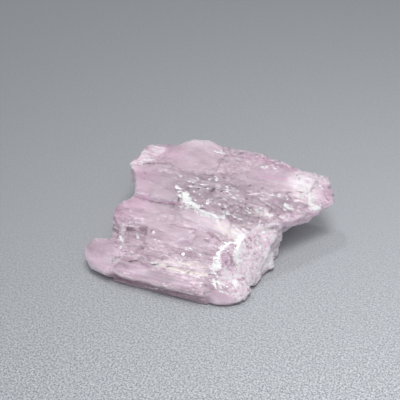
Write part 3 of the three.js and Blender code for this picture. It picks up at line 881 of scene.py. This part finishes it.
def floor_material(colour):
    """Plain matt ground with a fine grain that fades towards the back."""
    tree = Tree("floor")
    place = tree.place()
    grain = tree.noise(place, 3.0, 0.8, scale=3.2)
    depth = tree.along(place, TO_BACK)
    strength = 0.12 + 0.88 * (0.017 * (6 - depth)).clipped()
    grey = 0.5 + strength * (grain.between(0.35, 0.65) - 0.5)
    shade = tree.mix(grey, *([min(1.0, c * share) for c in colour] for share in GRAIN))
    bump = tree.add("ShaderNodeBump", None, {"Strength": 0.3, "Distance": 0.00006, "Height": grain})
    matt = tree.add("ShaderNodeBsdfPrincipled", None, {
        "Base Color": shade, "Roughness": 0.75, "Normal": bump})
    return tree.finish(Surface=matt)


# ---- the studio --------------------------------------------------------------------------------------------

FLOOR_HALF = 1.5  # metres
FLOOR_LEVEL = -0.00002  # a hair below the flat face of the crystal, so that the two surfaces don't coincide
KEY_PLACE, KEY_WIDTH = (-0.12, 0.10, 0.32), 0.05  # metres
SPOTS = (  # the other lamps: name, place and target, width of the cone in degrees, softness; metres
    ("pool", (0.05, -0.05, 0.30), (0.075, -0.056, 0), 61, 0.08),
    ("front", (0.10, -0.18, 0.30), (0.05, -0.04, 0), 55, 0.07),
)
SENSOR = 36  # mm
AIM = Vector((-0.8, 0.19, 4.5)) * MM  # the point that the camera holds near the middle
AIM_OFF = (8.0 / 400, -24.0 / 400)  # where the aim point stands, as a share of the frame from its middle


def new_object(name, data, turn=None):
    """A new object in the scene."""
    piece = bpy.data.objects.new(name, data)
    bpy.context.scene.collection.objects.link(piece)
    if turn is not None:
        piece.matrix_world = turn
    return piece


def new_piece(name, mesh, material):
    """A new object for a mesh of one material."""
    mesh.materials.clear()
    mesh.materials.append(material)
    return new_object(name, mesh)


def make_floor(studio):
    """A square floor."""
    corners = [(x * FLOOR_HALF, y * FLOOR_HALF, FLOOR_LEVEL) for x, y in ((-1, -1), (1, -1), (1, 1), (-1, 1))]
    mesh = bpy.data.meshes.new("floor")
    mesh.from_pydata(corners, [], [(0, 1, 2, 3)])
    new_piece("floor", mesh, floor_material(studio.floor_colour))


def hang_lamp(lamp, place, target):
    """Hangs a lamp at a place, turned to its target."""
    turn = (Vector(place) - Vector(target)).to_track_quat("Z", "Y").to_matrix().to_4x4()
    new_object(lamp.name, lamp, Matrix.Translation(place) @ turn)


def make_light(studio):
    """Plain surrounding light, a round lamp behind the crystal's left, a soft pool of light from above and a
    broad weak lamp in front."""
    world = bpy.data.worlds.new("sky")
    world.use_nodes = True
    sky = world.node_tree.nodes["Background"].inputs
    sky["Color"].default_value = (*studio.sky_colour, 1)
    sky["Strength"].default_value = studio.sky
    scene = bpy.context.scene
    scene.world = world
    key = bpy.data.lights.new("key", "AREA")
    key.shape = "DISK"
    key.size = KEY_WIDTH
    key.energy = studio.key
    hang_lamp(key, KEY_PLACE, (0, 0, 0))
    for name, place, target, cone, softness in SPOTS:
        lamp = bpy.data.lights.new(name, "SPOT")
        lamp.energy = getattr(studio, name)
        lamp.spot_size = math.radians(cone)
        lamp.spot_blend = 1
        lamp.shadow_soft_size = softness
        hang_lamp(lamp, place, target)
    scene.view_settings.view_transform = "Standard"


def make_camera(studio):
    """The camera looks down at the aim point from azimuth and elevation, moved sideways so that the aim point
    stands a little off the middle of the frame."""
    a, e = studio.azimuth, studio.elevation
    back = Vector((math.sin(a) * math.cos(e), -math.cos(a) * math.cos(e), math.sin(e)))
    right = Vector((math.cos(a), math.sin(a), 0))
    up = back.cross(right)
    camera = bpy.data.cameras.new("camera")
    camera.lens = studio.lens
    camera.sensor_width = SENSOR
    camera.clip_start = 0.005
    camera.clip_end = 10
    wide = studio.distance * SENSOR / studio.lens
    place = AIM + back * studio.distance - right * AIM_OFF[0] * wide - up * AIM_OFF[1] * wide
    turn = Matrix((right, up, back)).transposed().to_4x4()
    bpy.context.scene.camera = new_object("camera", camera, Matrix.Translation(place) @ turn)


# ---- operators ---------------------------------------------------------------------------------------------


class KUNZITE_OT_crystal(bpy.types.Operator):
    """Make the crystal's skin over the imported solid"""

    bl_idname = "kunzite.crystal"
    bl_label = "Crystal"

    def execute(self, context):
        scene = context.scene
        mesh = crystal_mesh(scene.kunzite_skin)
        if not mesh.polygons:
            raise RuntimeError("the crystal's skin came out empty")
        mesh.name = "crystal_skin"
        mesh.polygons.foreach_set("use_smooth", np.ones(len(mesh.polygons), bool))
        piece = new_piece("crystal_skin", mesh, crystal_material(scene.kunzite_finish))
        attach(piece, "root")
        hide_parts(NODE)
        return {"FINISHED"}


class KUNZITE_OT_sealed(bpy.types.Operator):
    """Make the white seeds and the thin veils that are sealed in the crystal"""

    bl_idname = "kunzite.sealed"
    bl_label = "Sealed veils and seeds"

    def execute(self, context):
        sealed = context.scene.kunzite_sealed
        ball, bands, caps = unit_ball(RINGS, SEGMENTS)
        seeds = [ball * radius + np.array(middle) for middle, radius in SEEDS]
        veils = [veil_shape(ball, *veil, sealed) for veil in VEILS]
        low, high = (np.array(corner) / MM for corner in CAD_BOX)
        if any((shape < low).any() or (shape > high).any() for shape in seeds + veils):
            raise RuntimeError("a sealed shape reaches out of the crystal's box")
        for name, shapes, glow, cover in (
                ("sealed_seeds", seeds, sealed.glow, None),
                ("sealed_veils", veils, sealed.veil_glow * sealed.glow, sealed.cover)):
            material = sealed_material(name, sealed.colour, glow, cover)
            piece = new_piece(name, sealed_mesh(name, shapes, bands, caps), material)
            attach(piece, "root")
        return {"FINISHED"}


class KUNZITE_OT_studio(bpy.types.Operator):
    """Make the floor, the soft light and the camera"""

    bl_idname = "kunzite.studio"
    bl_label = "Studio"

    def execute(self, context):
        studio = context.scene.kunzite_studio
        make_floor(studio)
        make_light(studio)
        make_camera(studio)
        return {"FINISHED"}


class KUNZITE_PT_panel(bpy.types.Panel):
    """Sizes, colours and the steps that make the crystal"""

    bl_idname = "KUNZITE_PT_panel"
    bl_label = "Kunzite Crystal"
    bl_space_type = "VIEW_3D"
    bl_region_type = "UI"
    bl_category = "Kunzite"

    def draw(self, context):
        layout = self.layout
        scene = context.scene
        for group_name, group in GROUPS.items():
            box = layout.box()
            for name in group.__annotations__:
                box.prop(getattr(scene, group_name), name)
        for operator in OPERATORS:
            layout.operator(operator.bl_idname)


GROUPS = {
    "kunzite_skin": KunziteSkin,
    "kunzite_finish": KunziteFinish,
    "kunzite_sealed": KunziteSealed,
    "kunzite_studio": KunziteStudio,
}
OPERATORS = (KUNZITE_OT_studio, KUNZITE_OT_crystal, KUNZITE_OT_sealed)


def register():
    """Registers the groups on the scene, the operators and the panel."""
    for name, group in GROUPS.items():
        bpy.utils.register_class(group)
        setattr(bpy.types.Scene, name, bpy.props.PointerProperty(type=group))
    for operator in OPERATORS:
        bpy.utils.register_class(operator)
    bpy.utils.register_class(KUNZITE_PT_panel)


def unregister():
    """Takes them away again, in the opposite order."""
    bpy.utils.unregister_class(KUNZITE_PT_panel)
    for operator in reversed(OPERATORS):
        bpy.utils.unregister_class(operator)
    for name, group in reversed(GROUPS.items()):
        delattr(bpy.types.Scene, name)
        bpy.utils.unregister_class(group)


def main():
    """Builds everything."""
    register()
    bpy.ops.kunzite.studio()
    bpy.ops.kunzite.crystal()
    bpy.ops.kunzite.sealed()


if __name__ == "__main__":
    main()
